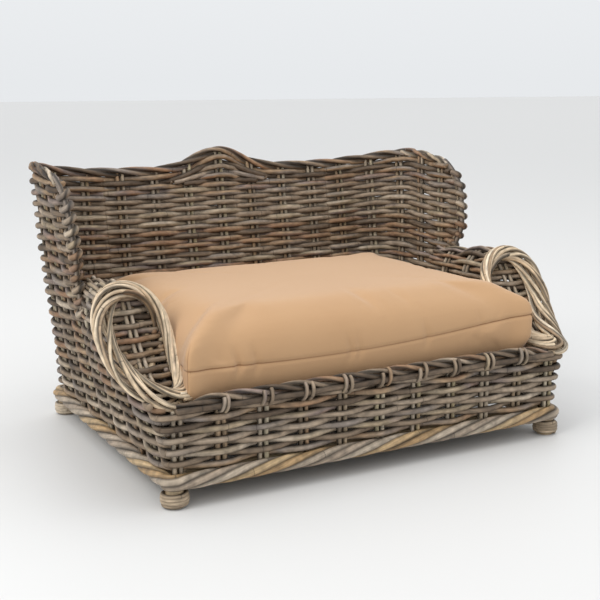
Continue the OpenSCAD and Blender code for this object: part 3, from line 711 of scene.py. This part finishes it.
wing_rows = np.arange(side_rows, back_rows)
wing_pairs = 8
edge_room = 0.016
turn_steps = 10
turn_reach = weave_swing + 0.0035
for side, hand in hands:
    # The side wall: its lower rows go on round the front corner, and its upper rows end at the arm's front
    rows = np.arange(side_rows)
    z = (first_row + row_pitch * rows)[:, None]
    corner_s = round_to(front_line + front_bend, z) + front_bend * np.pi / 4
    arm_s = round_to(arm_front(half_width(z) + 0.03, z) + 0.004, z)
    end_s = np.where(rows[:, None] < front_rows, corner_s, arm_s)
    s = back_half + (end_s - back_half) * np.linspace(0, 1, 124)
    goes_on = (s > last_side) & (rows[:, None] < front_rows)
    phase = np.where(goes_on, round_corner(s, z), s / stake_pitch)
    lay_canes(f"{side}_wall_weave", [weavers(hand * s, row_z(rows[:, None], s), phase, rows)],
              woven_cane, "woven_cane", f"{side}_side_weave")
    # The wing: each row runs to the edge stakes, and every second one turns round them
    lines = []
    for row in wing_rows:
        z_end = row_z(row, shoulder_start)
        edge_s = wing_edge(z_end) - edge_room
        last = wing_pairs + (1 if edge_s > wing_pairs * stake_pitch + 0.035 else 0)
        run_s = np.linspace(back_half, edge_s, 84)
        posts = np.append(np.arange(3, last) * stake_pitch, edge_s)
        run_phase = np.interp(run_s, posts, np.arange(3, last + 1))
        turns_here = (last + row) % 2 == 0
        bend = np.linspace(0, np.pi, turn_steps + 1)[1:]
        if turns_here:
            bend_s = edge_s + turn_reach * np.sin(bend)
            bend_lift = weave_swing * np.cos(bend)
            bend_z = row_pitch * bend / np.pi
        else:
            bend_s = edge_s + 0.003 * bend / np.pi
            bend_lift = np.full(turn_steps, -weave_swing)
            bend_z = 0 * bend
        s_all = np.append(run_s, bend_s)
        z_all = row_z(row, np.minimum(s_all, edge_s)) + np.append(0 * run_s, bend_z)
        lift = np.append(np.full(len(run_s), np.nan), bend_lift)
        lines.append((s_all, z_all, np.append(run_phase, np.full(turn_steps, last)), lift))
    s, z, phase, lift = (np.array(part) for part in zip(*lines))
    lay_canes(f"{side}_wing_canes", [weavers(hand * s, z, phase, wing_rows, turned=lift)],
              woven_cane, "woven_cane", f"{side}_wing_weave")


# ---- Weave of the arms ----
# The same core, laid along the roll from the wing to the front, crowded where the roll is narrow, then in
# level rows down its inner side.
roll_rows = 18
drop_rows = 12
arm_steps = 56
roll_u = roll_share * (np.arange(roll_rows) + 0.6) / roll_rows
drop_u = roll_share + (1 - roll_share) * (np.arange(drop_rows) + 0.7) / drop_rows
stake_zero = round_to(0.0, side_top_z)
for side, hand in hands:
    flip = [hand, 1, 1]
    u = np.concatenate([roll_u, drop_u])[:, None] + 0.0012 * wander(roll_rows + drop_rows, arm_steps, 3)
    v = np.linspace(-0.08, 1.0, arm_steps)[None, :] + 0 * u
    y = arm_skin(u, v)[..., 1] - base_y
    count = len(u)
    row = side_rows + np.arange(count)
    lift = weave_swing * np.cos(np.pi * ((stake_zero - y) / stake_pitch + row[:, None]))
    lift = lift * (1 + 0.1 * wander(count, arm_steps, 4)) * (0.72 + 0.28 * smooth(v * 2))
    middle, out = off_skin(arm_skin, u, v, lift)
    radius = (0.0042 + 0.0006 * smooth(v)) * (1 + 0.07 * chance.standard_normal((count, 1)).clip(-2, 2))
    radius = radius * (1 + 0.06 * wander(count, arm_steps, 5))
    lay_canes(f"{side}_arm_canes", [bundle(middle * flip, out * flip, radius, chance.random(count), 9)],
              woven_cane, "woven_cane", f"{side}_arm_weave")


# ---- Arm fronts ----
# Level canes fill the drop inside the wreath, each second one in front of the single pair of stakes.
panel_rows = 13
panel_steps = 26
panel_share = 0.95
panel_inset = 0.012
pair_x = arm_x - 0.001
toward = [0.0, -1.0, 0.3]
for side, hand in hands:
    flip = [hand, 1, 1]
    z = np.linspace(0.1795, 0.2985, panel_rows)[:, None]
    t = np.arcsin(np.clip((z - arm_mid_z) / (arm_half_h * panel_share), -1, 1))
    outer = arm_x + panel_share * (arm_ring(t)[0] - arm_x)
    inner = arm_x + (1.06 if side == "left" else 1.0) * (arm_ring(np.pi - t)[0] - arm_x)
    x = inner + (outer - inner) * np.linspace(0, 1, panel_steps)
    z = z + 0.0006 * wander(panel_rows, panel_steps, 1) + 0.002 * (x - arm_x) / arm_half_w
    lap = np.where(np.arange(panel_rows)[:, None] % 2 == 0, 1.0, -1.0)
    y = arm_front(x, z) + panel_inset - weave_swing * lap * hump((x - pair_x) / 0.016) + base_y
    thick = 0.0050 * (1 + 0.06 * wander(panel_rows, panel_steps, 2))
    level = bundle(points_at(x, y, z) * flip, toward, thick, chance.random(panel_rows), 9)
    up_z = np.linspace(0.176, 0.304, 18)[None, :]
    up_x = pair_x + np.array([[-pair_half], [pair_half]])
    upright = points_at(up_x, arm_front(up_x, up_z) + panel_inset + base_y, up_z)
    pair = bundle(upright * flip, toward, 0.0038, np.array([0.97, 0.99]), 9)
    lay_canes(f"{side}_arm_front_canes", [level, pair], woven_cane, "woven_cane", f"{side}_arm_front_weave")


# ---- Wreaths ----
# Ten long peeled canes bent together round each arm's front. They roll slowly over one another as they go
# round, spread at the foot and end tucked in over the corner of the rim. No two wreaths come out alike: the
# left one is rounder and leans to the seat at its foot, the right one runs straight down to the corner.
peeled_cane = cane_finish("peeled_cane", [
    (0.00, (0.320, 0.224, 0.140)), (0.25, (0.490, 0.374, 0.250)), (0.50, (0.600, 0.485, 0.340)),
    (0.75, (0.490, 0.354, 0.222)), (1.00, (0.690, 0.590, 0.450))], 0.5, 0.4)
wreath_canes = 10
wreath_radius = 0.0036
wreath_steps = 150
for side, hand in hands:
    flip = [hand, 1, 1]
    t = np.radians(np.linspace(-128, 268, wreath_steps))[None, :]
    ring_x, ring_z = arm_ring(t)
    low = np.maximum(0, -np.sin(t))
    if side == "left":
        ring_x = arm_x + 1.13 * (ring_x - arm_x) - 0.014 * low ** 3
    else:
        outer = np.maximum(0, np.cos(t))
        ring_x = arm_x - 0.003 + 0.99 * (ring_x - arm_x) - 0.012 * outer - 0.008 * low * outer
        ring_x = ring_x + 0.020 * low ** 3
    bow = np.stack([ring_x, arm_front(ring_x, ring_z) - 0.006 + base_y, ring_z], -1)
    along = unit(np.gradient(bow, axis=1))
    centre = np.array([arm_x, arm_front(arm_x, arm_mid_z) + base_y, arm_mid_z])
    across = square_to(bow - centre, along)
    toward = np.cross(along, across)
    toward = toward * np.sign(-toward[..., 1:2])
    order = np.arange(wreath_canes)[:, None] / wreath_canes
    roll = 2 * np.pi * (order + 1.7 * (t - t[:, :1]) / (2 * np.pi))
    roll = roll + 0.5 * wander(wreath_canes, wreath_steps, 2)
    band = 0.0105 + 0.0060 * np.cos(t) + 0.0075 * low ** 1.5 + 0.001 * np.maximum(0, np.sin(t))
    depth = 0.0078 - 0.0022 * np.cos(t)
    aside = 0.003 + 0.003 * np.maximum(0, -np.cos(t))
    away = across * (band * np.cos(roll))[..., None] + toward * (depth * np.sin(roll))[..., None]
    lines = bow + across * aside[..., None] + away
    thick = wreath_radius * (1 + 0.10 * chance.standard_normal((wreath_canes, 1)).clip(-2, 2))
    thick = thick * (1 + 0.05 * wander(wreath_canes, wreath_steps, 4))
    canes = bundle(lines * flip, away * flip, thick, chance.random(wreath_canes), 10)
    lay_canes(f"{side}_wreath_canes", [canes], peeled_cane, "peeled_cane", f"{side}_arm_wreath")


# ---- Borders ----
# Rods of core twisted along each top edge, so that the outline is a row of low waves, one to a pair of
# stakes. The front rim has a straight rod below the twist. Its stakes are bent over the rod, some cut off
# there and some tucked in behind.
border_cane = cane_finish("border_cane", weathered_hues, gain=1.05)
rod_spread = 0.0058


def twist(middle, out, strands, pitch, spread, thick, sides=10, start=0.0, tone=None):
    """Rods twisted round a line: each lies spread away from it, turning a full turn for each pitch of run."""
    run = run_of(middle)
    along = unit(np.gradient(middle, axis=0))
    side = square_to(out, along)
    across = np.cross(along, side)
    turn = start + 2 * np.pi * (run[None] / pitch + np.arange(strands)[:, None] / strands)
    turn = (turn + 0.2 * wander(strands, len(run), 4))[..., None]
    away = np.cos(turn) * side + np.sin(turn) * across
    lines = middle + np.asarray(spread)[..., None] * away
    radius = thick * (1 + 0.05 * wander(strands, len(run), 8))
    return bundle(lines, away, radius, chance.random(strands) if tone is None else tone, sides)


rim_x = np.linspace(-0.364, 0.364, 170)
rim_y = np.full_like(rim_x, front_line + base_y)
rim_line = np.stack([rim_x, rim_y, 0.1625 - 0.010 * smooth((np.abs(rim_x) - 0.30) / 0.06)], -1)
rim_twist = twist(rim_line, forward, 3, 2 * stake_pitch, rod_spread, 0.0043)
rod_steps = 120
rod_x = np.linspace(-0.368, 0.368, rod_steps)
rod_y = front_line + base_y - 0.0086 + 0.0012 * wander(2, rod_steps, 6) + [[0.0], [0.0165]]
rods = points_at(rod_x, rod_y, 0.1525 + 0.0008 * wander(2, rod_steps, 5))
rim_rods = bundle(rods, forward, 0.0052, chance.random(2), 10)
tip_x = pairs(np.arange(-4, 5) * stake_pitch)
reach = chance.uniform(0.25, 1.0, (len(tip_x), 1))
bend = (-0.45 + (reach + 0.45) * np.linspace(0, 1, 16)) * np.pi
tip_y = front_line + base_y - 0.0030 - 0.0125 * np.maximum(np.cos(bend - 0.15), -0.5)
tip_z = 0.1555 + 0.0125 * np.sin(bend - 0.15) + 0.0010 * chance.standard_normal((len(tip_x), 1))
lean = 0.007 * (bend / np.pi + 0.45) + 0.0015 * chance.standard_normal((len(tip_x), 1))
tips = points_at(tip_x[:, None] + lean, tip_y, tip_z)
over_rod = points_at(0, -np.cos(bend), np.sin(bend))
tied = bundle(tips, over_rod, 0.0036, chance.random(len(tip_x)), 9)
lay_canes("front_rim_rods", [rim_twist, rim_rods, tied], border_cane, "border_cane", "front_rim_border")

crest_s = np.linspace(-0.46, 0.46, 230)
crest_line, crest_out = wall(crest_s, wall_top(crest_s) - 0.0098)
lay_canes("back_top_rods", [twist(crest_line, crest_out, 3, 3 * stake_pitch, rod_spread, 0.0048)],
          border_cane, "border_cane", "back_top_border")

border_room = 0.0095
for side, hand in hands:
    rise_s = np.linspace(0.45, shoulder_start, 30)
    fall = np.linspace(0, 0.60, 20)[1:]
    round_s = np.append(rise_s, shoulder_start + (wing_reach - shoulder_start - border_room) * np.sin(fall))
    fall_z = shoulder_z + (shoulder_rise - border_room) * np.cos(fall)
    round_z = np.append(wall_top(rise_s) - border_room, fall_z)
    line, out = wall(hand * round_s, round_z)
    share = np.linspace(0, 1, len(round_s))
    shoulder = twist(line, out, 3, 2.6 * stake_pitch, rod_spread - 0.002 * share, 0.0047 - 0.0006 * share,
                     start=1.0)
    round_edge = shoulder_z + 0.078 * np.sin(np.linspace(0.1, 1.3, 14))
    edge_z = np.append(np.linspace(side_top_z, shoulder_z, 20), round_edge)
    edge_s = (wing_edge(edge_z) - edge_room)[None] + np.array([[-0.0048], [0.0048]])
    edge_line, edge_out = wall(hand * edge_s, edge_z[None] + 0 * edge_s)
    lay_canes(f"{side}_wing_rods", [shoulder, stakes_of(edge_line, edge_out)],
              border_cane, "border_cane", f"{side}_wing_border")


# ---- Base rope ----
# Five thick canes, some honey and some grey, twisted into a rope that is nailed round the foot of the walls.
rope_cane = cane_finish("rope_cane", [
    (0.00, (0.290, 0.180, 0.085)), (0.25, (0.385, 0.268, 0.143)), (0.50, (0.430, 0.325, 0.195)),
    (0.62, (0.270, 0.205, 0.150)), (0.80, (0.320, 0.258, 0.195)), (1.00, (0.385, 0.320, 0.245))], 0.5, 0.3)
rope_radius = (rope_high.z - rope_low.z) / 2
rope_z = (rope_high.z + rope_low.z) / 2
rope_x = rope_high.x - rope_radius
rope_y = (rope_high.y - rope_low.y) / 2 - rope_radius
rope_bend = 0.014
rope_turns = 10.5
rope_lap = 1.004


def rope_path(share):
    """Point at a share of the way round a rectangle with round corners, from the middle of the rear, and the
    outward direction there."""
    half_x, half_y = rope_x - rope_bend, rope_y - rope_bend
    straight = np.array([half_x, 2 * half_y, 2 * half_x, 2 * half_y, half_x])
    bend = rope_bend * np.pi / 2
    total = straight.sum() + 4 * bend
    run = (share % 1.0) * total
    starts = np.cumsum(np.append(0, straight[:-1] + bend))
    leg = np.clip(np.searchsorted(starts, run, side="right") - 1, 0, 4)
    into = run - starts[leg]
    angle = -leg * np.pi / 2 - np.clip((into - straight[leg]) / rope_bend, 0, np.pi / 2)
    into = np.minimum(into, straight[leg])
    first = np.array([[0, 1], [1, 1], [1, -1], [-1, -1], [-1, 1]], float) * [half_x, half_y]
    heading = -leg * np.pi / 2
    arc_in = np.stack([np.cos(angle + np.pi / 2), np.sin(angle + np.pi / 2)], -1) * rope_bend
    ahead = np.stack([np.cos(heading), np.sin(heading)], -1) * into[:, None]
    xy = first[leg] + ahead + arc_in
    return points_at(xy[:, 0], xy[:, 1] + base_y, rope_z), points_at(*(arc_in / rope_bend).T, 0)


rope_line, rope_out = rope_path(np.linspace(0, rope_lap, 640))
rope_length = run_of(rope_line)[-1] / rope_lap
rope_tones = np.array([0.10, 0.30, 0.95, 0.72, 0.85])
rope = twist(rope_line, rope_out, 5, -rope_length / rope_turns, 0.0068, 0.0063, 10, tone=rope_tones)
lay_canes("base_rope_canes", [rope], rope_cane, "rope_cane", "base_rope")


# ---- Cushion ----
# A loose pad of polyester fibre in a camel twill cover: a top and a bottom panel joined by one seam round
# its middle, with a short seam up each corner. It is swollen by its filling and flat only underneath.
cover_low, cover_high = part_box("cushion_cover")
pad_x = 0.3420
pad_y = (cover_high.y - cover_low.y) / 2
pad_mid_y = (cover_high.y + cover_low.y) / 2
pad_foot = cover_low.z
pad_crown = cover_high.z
cloth_steps = 20
rib_pitch = 0.0017
seam_rise, seam_mid, seam_ends, seam_sag = 0.0105, 0.2085, 0.008, 0.018


def seam_z(x, y):
    """Height of the seam: higher at the pad's plump right end, and in front it sags between the corners."""
    in_front = np.clip((pad_mid_y + pad_y - y) / (2 * pad_y), 0, 1)
    sag = seam_ends - seam_sag * np.cos(x * np.pi / (2 * pad_x))
    return seam_mid + seam_rise * x / pad_x + in_front * sag


def pad_outline(around):
    """Plan of the pad at angle around: a rectangle with rounded corners, its sides pulled in between them."""
    x, y = np.cos(around), np.sin(around)
    square = (np.abs(x) ** 26 + np.abs(y) ** 26) ** (-1 / 26)
    x, y = x * square, y * square
    return x * (1 - 0.026 * np.cos(y * np.pi / 2) ** 1.5), y * (1 - 0.010 * np.cos(x * np.pi / 2) ** 1.5)


def pad_skin(around, up, inset):
    """The pad: its plan drawn in as a low power of cos up, its height from the seam a power of sin up."""
    x, y = pad_outline(around)
    cornered = np.clip((np.abs(x) - 0.8) / 0.2, 0, 1) * np.clip((np.abs(y) - 0.8) / 0.2, 0, 1)
    draw = np.cos(up) ** (0.20 - 0.13 * cornered)
    x, y = x * (pad_x - inset) * draw, y * (pad_y - inset) * draw
    middle = seam_z(x, y + pad_mid_y)
    at_corner = (np.abs(x) / pad_x) ** 3 * (np.abs(y) / pad_y) ** 3
    rise = (pad_crown - inset - middle) * np.abs(np.sin(up)) ** 0.92 * (1 - 0.16 * at_corner)
    fall = (middle - pad_foot - inset) * np.abs(np.sin(up)) ** 0.50
    return points_at(x, y + pad_mid_y, middle + np.where(up > 0, rise, -fall))


def closed_pad(name, inset, columns, levels):
    """The pad's skin as a closed mesh: rings from the underside to the crown, and a point at each pole."""
    around = np.arange(columns) * 2 * np.pi / columns
    around = around + 0.16 * np.sin(4 * around)
    up = -np.pi / 2 + np.pi * np.arange(1, levels) / levels
    rings = pad_skin(around[None, :], up[:, None], inset)
    poles = np.array([[0, pad_mid_y, pad_foot + inset], [0, pad_mid_y, pad_crown - inset]])
    at = np.arange((levels - 1) * columns).reshape(levels - 1, columns)
    on = np.roll(at, -1, axis=1)
    quads = np.stack([at[:-1], on[:-1], on[1:], at[1:]], -1).reshape(-1, 4)
    caps = np.concatenate([points_at(at.size, on[0], at[0]), points_at(at.size + 1, at[-1], on[-1])])
    mesh = bpy.data.meshes.new(name)
    mesh.from_pydata(np.concatenate([rings.reshape(-1, 3), poles]), [], quads.tolist() + caps.tolist())
    return put(name, mesh)


def points_of(mesh):
    """A mesh's points as an array."""
    found = np.zeros(len(mesh.vertices) * 3, np.float32)
    mesh.vertices.foreach_get("co", found)
    return found.reshape(-1, 3).astype(float)


def settled(piece):
    """Puts a piece's modifiers into its mesh."""
    made = bpy.data.meshes.new_from_object(piece.evaluated_get(bpy.context.evaluated_depsgraph_get()))
    piece.modifiers.clear()
    old, piece.data = piece.data, made
    bpy.data.meshes.remove(old)


def stuff(pad, reach):
    """Remeshes the pad and swells it with cloth under pressure for a few steps, moving no point further than
    reach, so that the cover draws tight and creases towards its corners, which keep their points."""
    remesh = pad.modifiers.new("even", "REMESH")
    remesh.mode = "VOXEL"
    remesh.voxel_size = 0.0060
    settled(pad)
    rest = points_of(pad.data)
    cloth = pad.modifiers.new("cover", "CLOTH")
    twill_cloth = dict(quality=5, mass=0.25, tension_stiffness=22, compression_stiffness=22,
                       shear_stiffness=8, bending_stiffness=0.4, use_pressure=True, uniform_pressure_force=4.0)
    for setting, value in twill_cloth.items():
        setattr(cloth.settings, setting, value)
    cloth.settings.effector_weights.gravity = 0.0
    cloth.collision_settings.use_collision = False
    cloth.collision_settings.use_self_collision = False
    cloth.point_cache.frame_start = 1
    cloth.point_cache.frame_end = cloth_steps
    for step in range(1, cloth_steps + 1):
        bpy.context.scene.frame_set(step)
    settled(pad)
    move = points_of(pad.data) - rest
    length = np.linalg.norm(move, axis=1, keepdims=True)
    corner = smooth((np.abs(rest[:, :1]) / pad_x - 0.84) / 0.12)
    corner = corner * smooth((np.abs(rest[:, 1:2] - pad_mid_y) / pad_y - 0.80) / 0.14)
    held = rest + move * np.minimum(1, reach / np.maximum(length, 1e-9)) * (1 - corner)
    pad.data.vertices.foreach_set("co", held.astype(np.float32).ravel())
    bpy.context.scene.frame_set(1)


cover = closed_pad("cushion_cover_cloth", 0.004, 240, 64)
stuff(cover, 0.010)
filling_mesh = cover.data.copy()
finer = cover.modifiers.new("finer", "SUBSURF")
finer.levels = finer.render_levels = 1
settled(cover)
points = points_of(cover.data)
x, y, z = points.T
from_seam = z - seam_z(x, y)
off_x, off_y = np.abs(x), np.abs(y - pad_mid_y)
side_share = np.maximum(off_x / pad_x, off_y / pad_y)
on_side = smooth((side_share - 0.90) / 0.06)
at_end = off_x / pad_x > off_y / pad_y
outward = points_at(np.where(at_end, np.sign(x), 0), np.where(at_end, 0, np.sign(y - pad_mid_y)), 0)
groove = 0.0024 * hump(from_seam / 0.0026)
tucks = np.zeros_like(x)
tuck_places = [(-0.245, 1.0), (-0.212, 0.7), (-0.036, 0.9), (-0.018, 0.7), (0.118, 0.8), (0.233, 0.4)]
for place, strength in tuck_places:
    tucks = tucks + strength * hump((x - place + 0.25 * np.abs(from_seam)) / 0.0065)
tucks = tucks + 0.5 * hump((off_y - 0.11) / 0.010) * at_end
pinch = 0.0055 * tucks * hump(from_seam / np.where(from_seam > 0, 0.030, 0.014))
diagonal = np.abs(off_x - pad_x - (off_y - pad_y)) / np.sqrt(2)
corner_line = smooth((side_share - 0.93) / 0.05) * (off_x > 0.9 * pad_x) * (off_y > 0.9 * pad_y)
corner_line = corner_line * smooth((0.040 - np.abs(from_seam - 0.004)) / 0.012)
corner_groove = 0.0016 * corner_line * hump(diagonal / 0.0026)
behind = (y > pad_mid_y) & (off_x < 0.25)
points = points - outward * (on_side * (groove + pinch) * ~behind + corner_groove)[:, None]
x, y, z = points.T
# It rests flat on the seat, lies flat behind its zip, clears the rim in front and is held in by the arms
z = np.maximum(z, pad_foot)
zip_back = cover_high.y
tape_low, tape_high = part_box("zip_tape")
tape_z = (tape_low.z + tape_high.z) / 2
band = hump((z - tape_z) / 0.021, 6) * smooth((0.262 - np.abs(x)) / 0.02) * (y > pad_mid_y + 0.8 * pad_y)
y = y + (zip_back - y) * band
y = np.clip(y, pad_mid_y - pad_y - 0.001, zip_back)
corner_pull = 0.009 * smooth((np.abs(x) / pad_x - 0.86) / 0.10)
corner_pull = corner_pull * smooth((np.abs(y - pad_mid_y) / pad_y - 0.86) / 0.10) * hump(from_seam / 0.055, 6)
x = x + np.sign(x) * corner_pull
y = y + np.sign(y - pad_mid_y) * corner_pull
arm_hold = 0.3285 + 0.0095 * smooth((-0.205 + base_y - y) / 0.02)
arm_hold = arm_hold - 0.006 * hump((y - base_y + 0.150) / 0.035)
x = np.clip(x, -arm_hold, arm_hold)
cover.data.vertices.foreach_set("co", np.stack([x, y, z], -1).astype(np.float32).ravel())
mark(cover.data, "side", on_side * ~behind)
mark(cover.data, "corner", corner_line)
cover.data.shade_smooth()
cover.data.update()

twill, twill_shader, paint = new_finish(
    "camel_twill", Roughness=0.85, Sheen_Weight=0.25, Sheen_Roughness=0.5, Specular_IOR_Level=0.2)
place = paint.node("ShaderNodeTexCoord", out=3)
px, py, pz = (place.part(k) for k in range(3))
rib = ((px + py * 0.62 + pz * 0.62) * (2 * math.pi / rib_pitch)).wave() * 0.5 + 0.5
thread = paint.noise(px * 900, py * 900, pz * 900, 1.0)
fade = paint.noise(px * 9, py * 9, pz * 9, 2.0)
side_gate = paint.node("ShaderNodeAttribute", out=2, attribute_name="side")
corner_gate = paint.node("ShaderNodeAttribute", out=2, attribute_name="corner")
in_front = (pad_mid_y + pad_y - py) * (0.5 / pad_y)
sag = seam_ends - seam_sag * (px * (math.pi / (2 * pad_x))).wave("COSINE")
from_middle = (pz - px * (seam_rise / pad_x) - seam_mid - in_front * sag).wave("ABSOLUTE")
from_corner = (px.wave("ABSOLUTE") - (py - pad_mid_y).wave("ABSOLUTE") - (pad_x - pad_y)).wave("ABSOLUTE")
seam = side_gate * ((from_middle < 0.0009) * 0.75 + (from_middle < 0.0022) * 0.18)
seam = seam + corner_gate * (from_corner < 0.0014) * 0.7
cloth_colour = paint.between(fade, (0.500, 0.300, 0.157, 1), (0.535, 0.330, 0.177, 1))
cloth_colour = paint.dim(cloth_colour, 0.94 + rib * 0.04 + thread * 0.06)
cloth_colour = paint.between(seam, cloth_colour, (0.23, 0.115, 0.05, 1))
feed(twill_shader, Base_Color=cloth_colour, Height=(rib * 0.5 + thread * 0.5, 0.00018))
cover.data.materials.clear()
cover.data.materials.append(twill)
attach(cover, "cushion")
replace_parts(cover, "cushion_cover")

filling = put("cushion_filling_pad", filling_mesh)
inner = points_of(filling.data)
inner_mid = np.array([0, pad_mid_y, seam_mid])
inner = inner_mid + (inner - inner_mid) * [0.95, 0.94, 0.86]
filling.data.vertices.foreach_set("co", inner.astype(np.float32).ravel())
filling.data.shade_smooth()
fibre, fibre_shader, paint = new_finish("white_fibre", Roughness=0.95)
tuft = paint.node("ShaderNodeTexNoise", {"Scale": 140.0, "Detail": 4.0})
feed(fibre_shader, Base_Color=paint.between(tuft, (0.80, 0.79, 0.76, 1), (0.92, 0.91, 0.89, 1)),
     Height=(tuft, 0.002))
filling.data.materials.append(fibre)
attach(filling, "cushion")
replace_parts(filling, "cushion_filling")


# ---- Zip ----
# A woven tape with a brass coil along the rear seam, so that the cover comes off to be washed. The slider and
# its hanging pull are cast brass with tarnish in patches.
tape, tape_shader, paint = new_finish("zip_cloth", Roughness=0.85)
place = paint.node("ShaderNodeTexCoord", out=3)
weft_pitch = 0.0012
across, upward = ((place.part(k) * (2 * math.pi / weft_pitch)).wave() for k in (0, 2))
weft = across * upward * 0.5 + 0.5
feed(tape_shader, Base_Color=paint.between(weft, (0.40, 0.255, 0.135, 1), (0.52, 0.34, 0.19, 1)),
     Height=(weft, 0.0003))
dress(["zip_tape"], tape)


def brass_finish(name, teeth):
    """Dull brass with tarnish in patches; teeth gives the coil's pitch along x, or 0 for a smooth casting."""
    material, shader, paint = new_finish(name, Metallic=1.0)
    px = paint.node("ShaderNodeTexCoord", out=3).part(0)
    tarnish = paint.node("ShaderNodeTexNoise", {"Scale": 420.0, "Detail": 3.0})
    height = tarnish * 0.3
    shade = tarnish
    if teeth:
        tooth = (px * (2 * math.pi / teeth)).wave() * 0.5 + 0.5
        height = tooth + tarnish * 0.1
        shade = tooth * 0.7 + tarnish * 0.3
    feed(shader, Base_Color=paint.between(shade, (0.30, 0.22, 0.11, 1), (0.68, 0.54, 0.30, 1)),
         Roughness=0.3 + tarnish * 0.35, Height=(height, 0.0004))
    return material


dress(["zip_coil"], brass_finish("coil_brass", 0.0014))
dress(["zip_slider", "zip_pull"], brass_finish("cast_brass", 0))


# ---- Sizes ----
# The CAD model's box and the finished basket's box, lowest and highest corners in metres.
low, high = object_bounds()
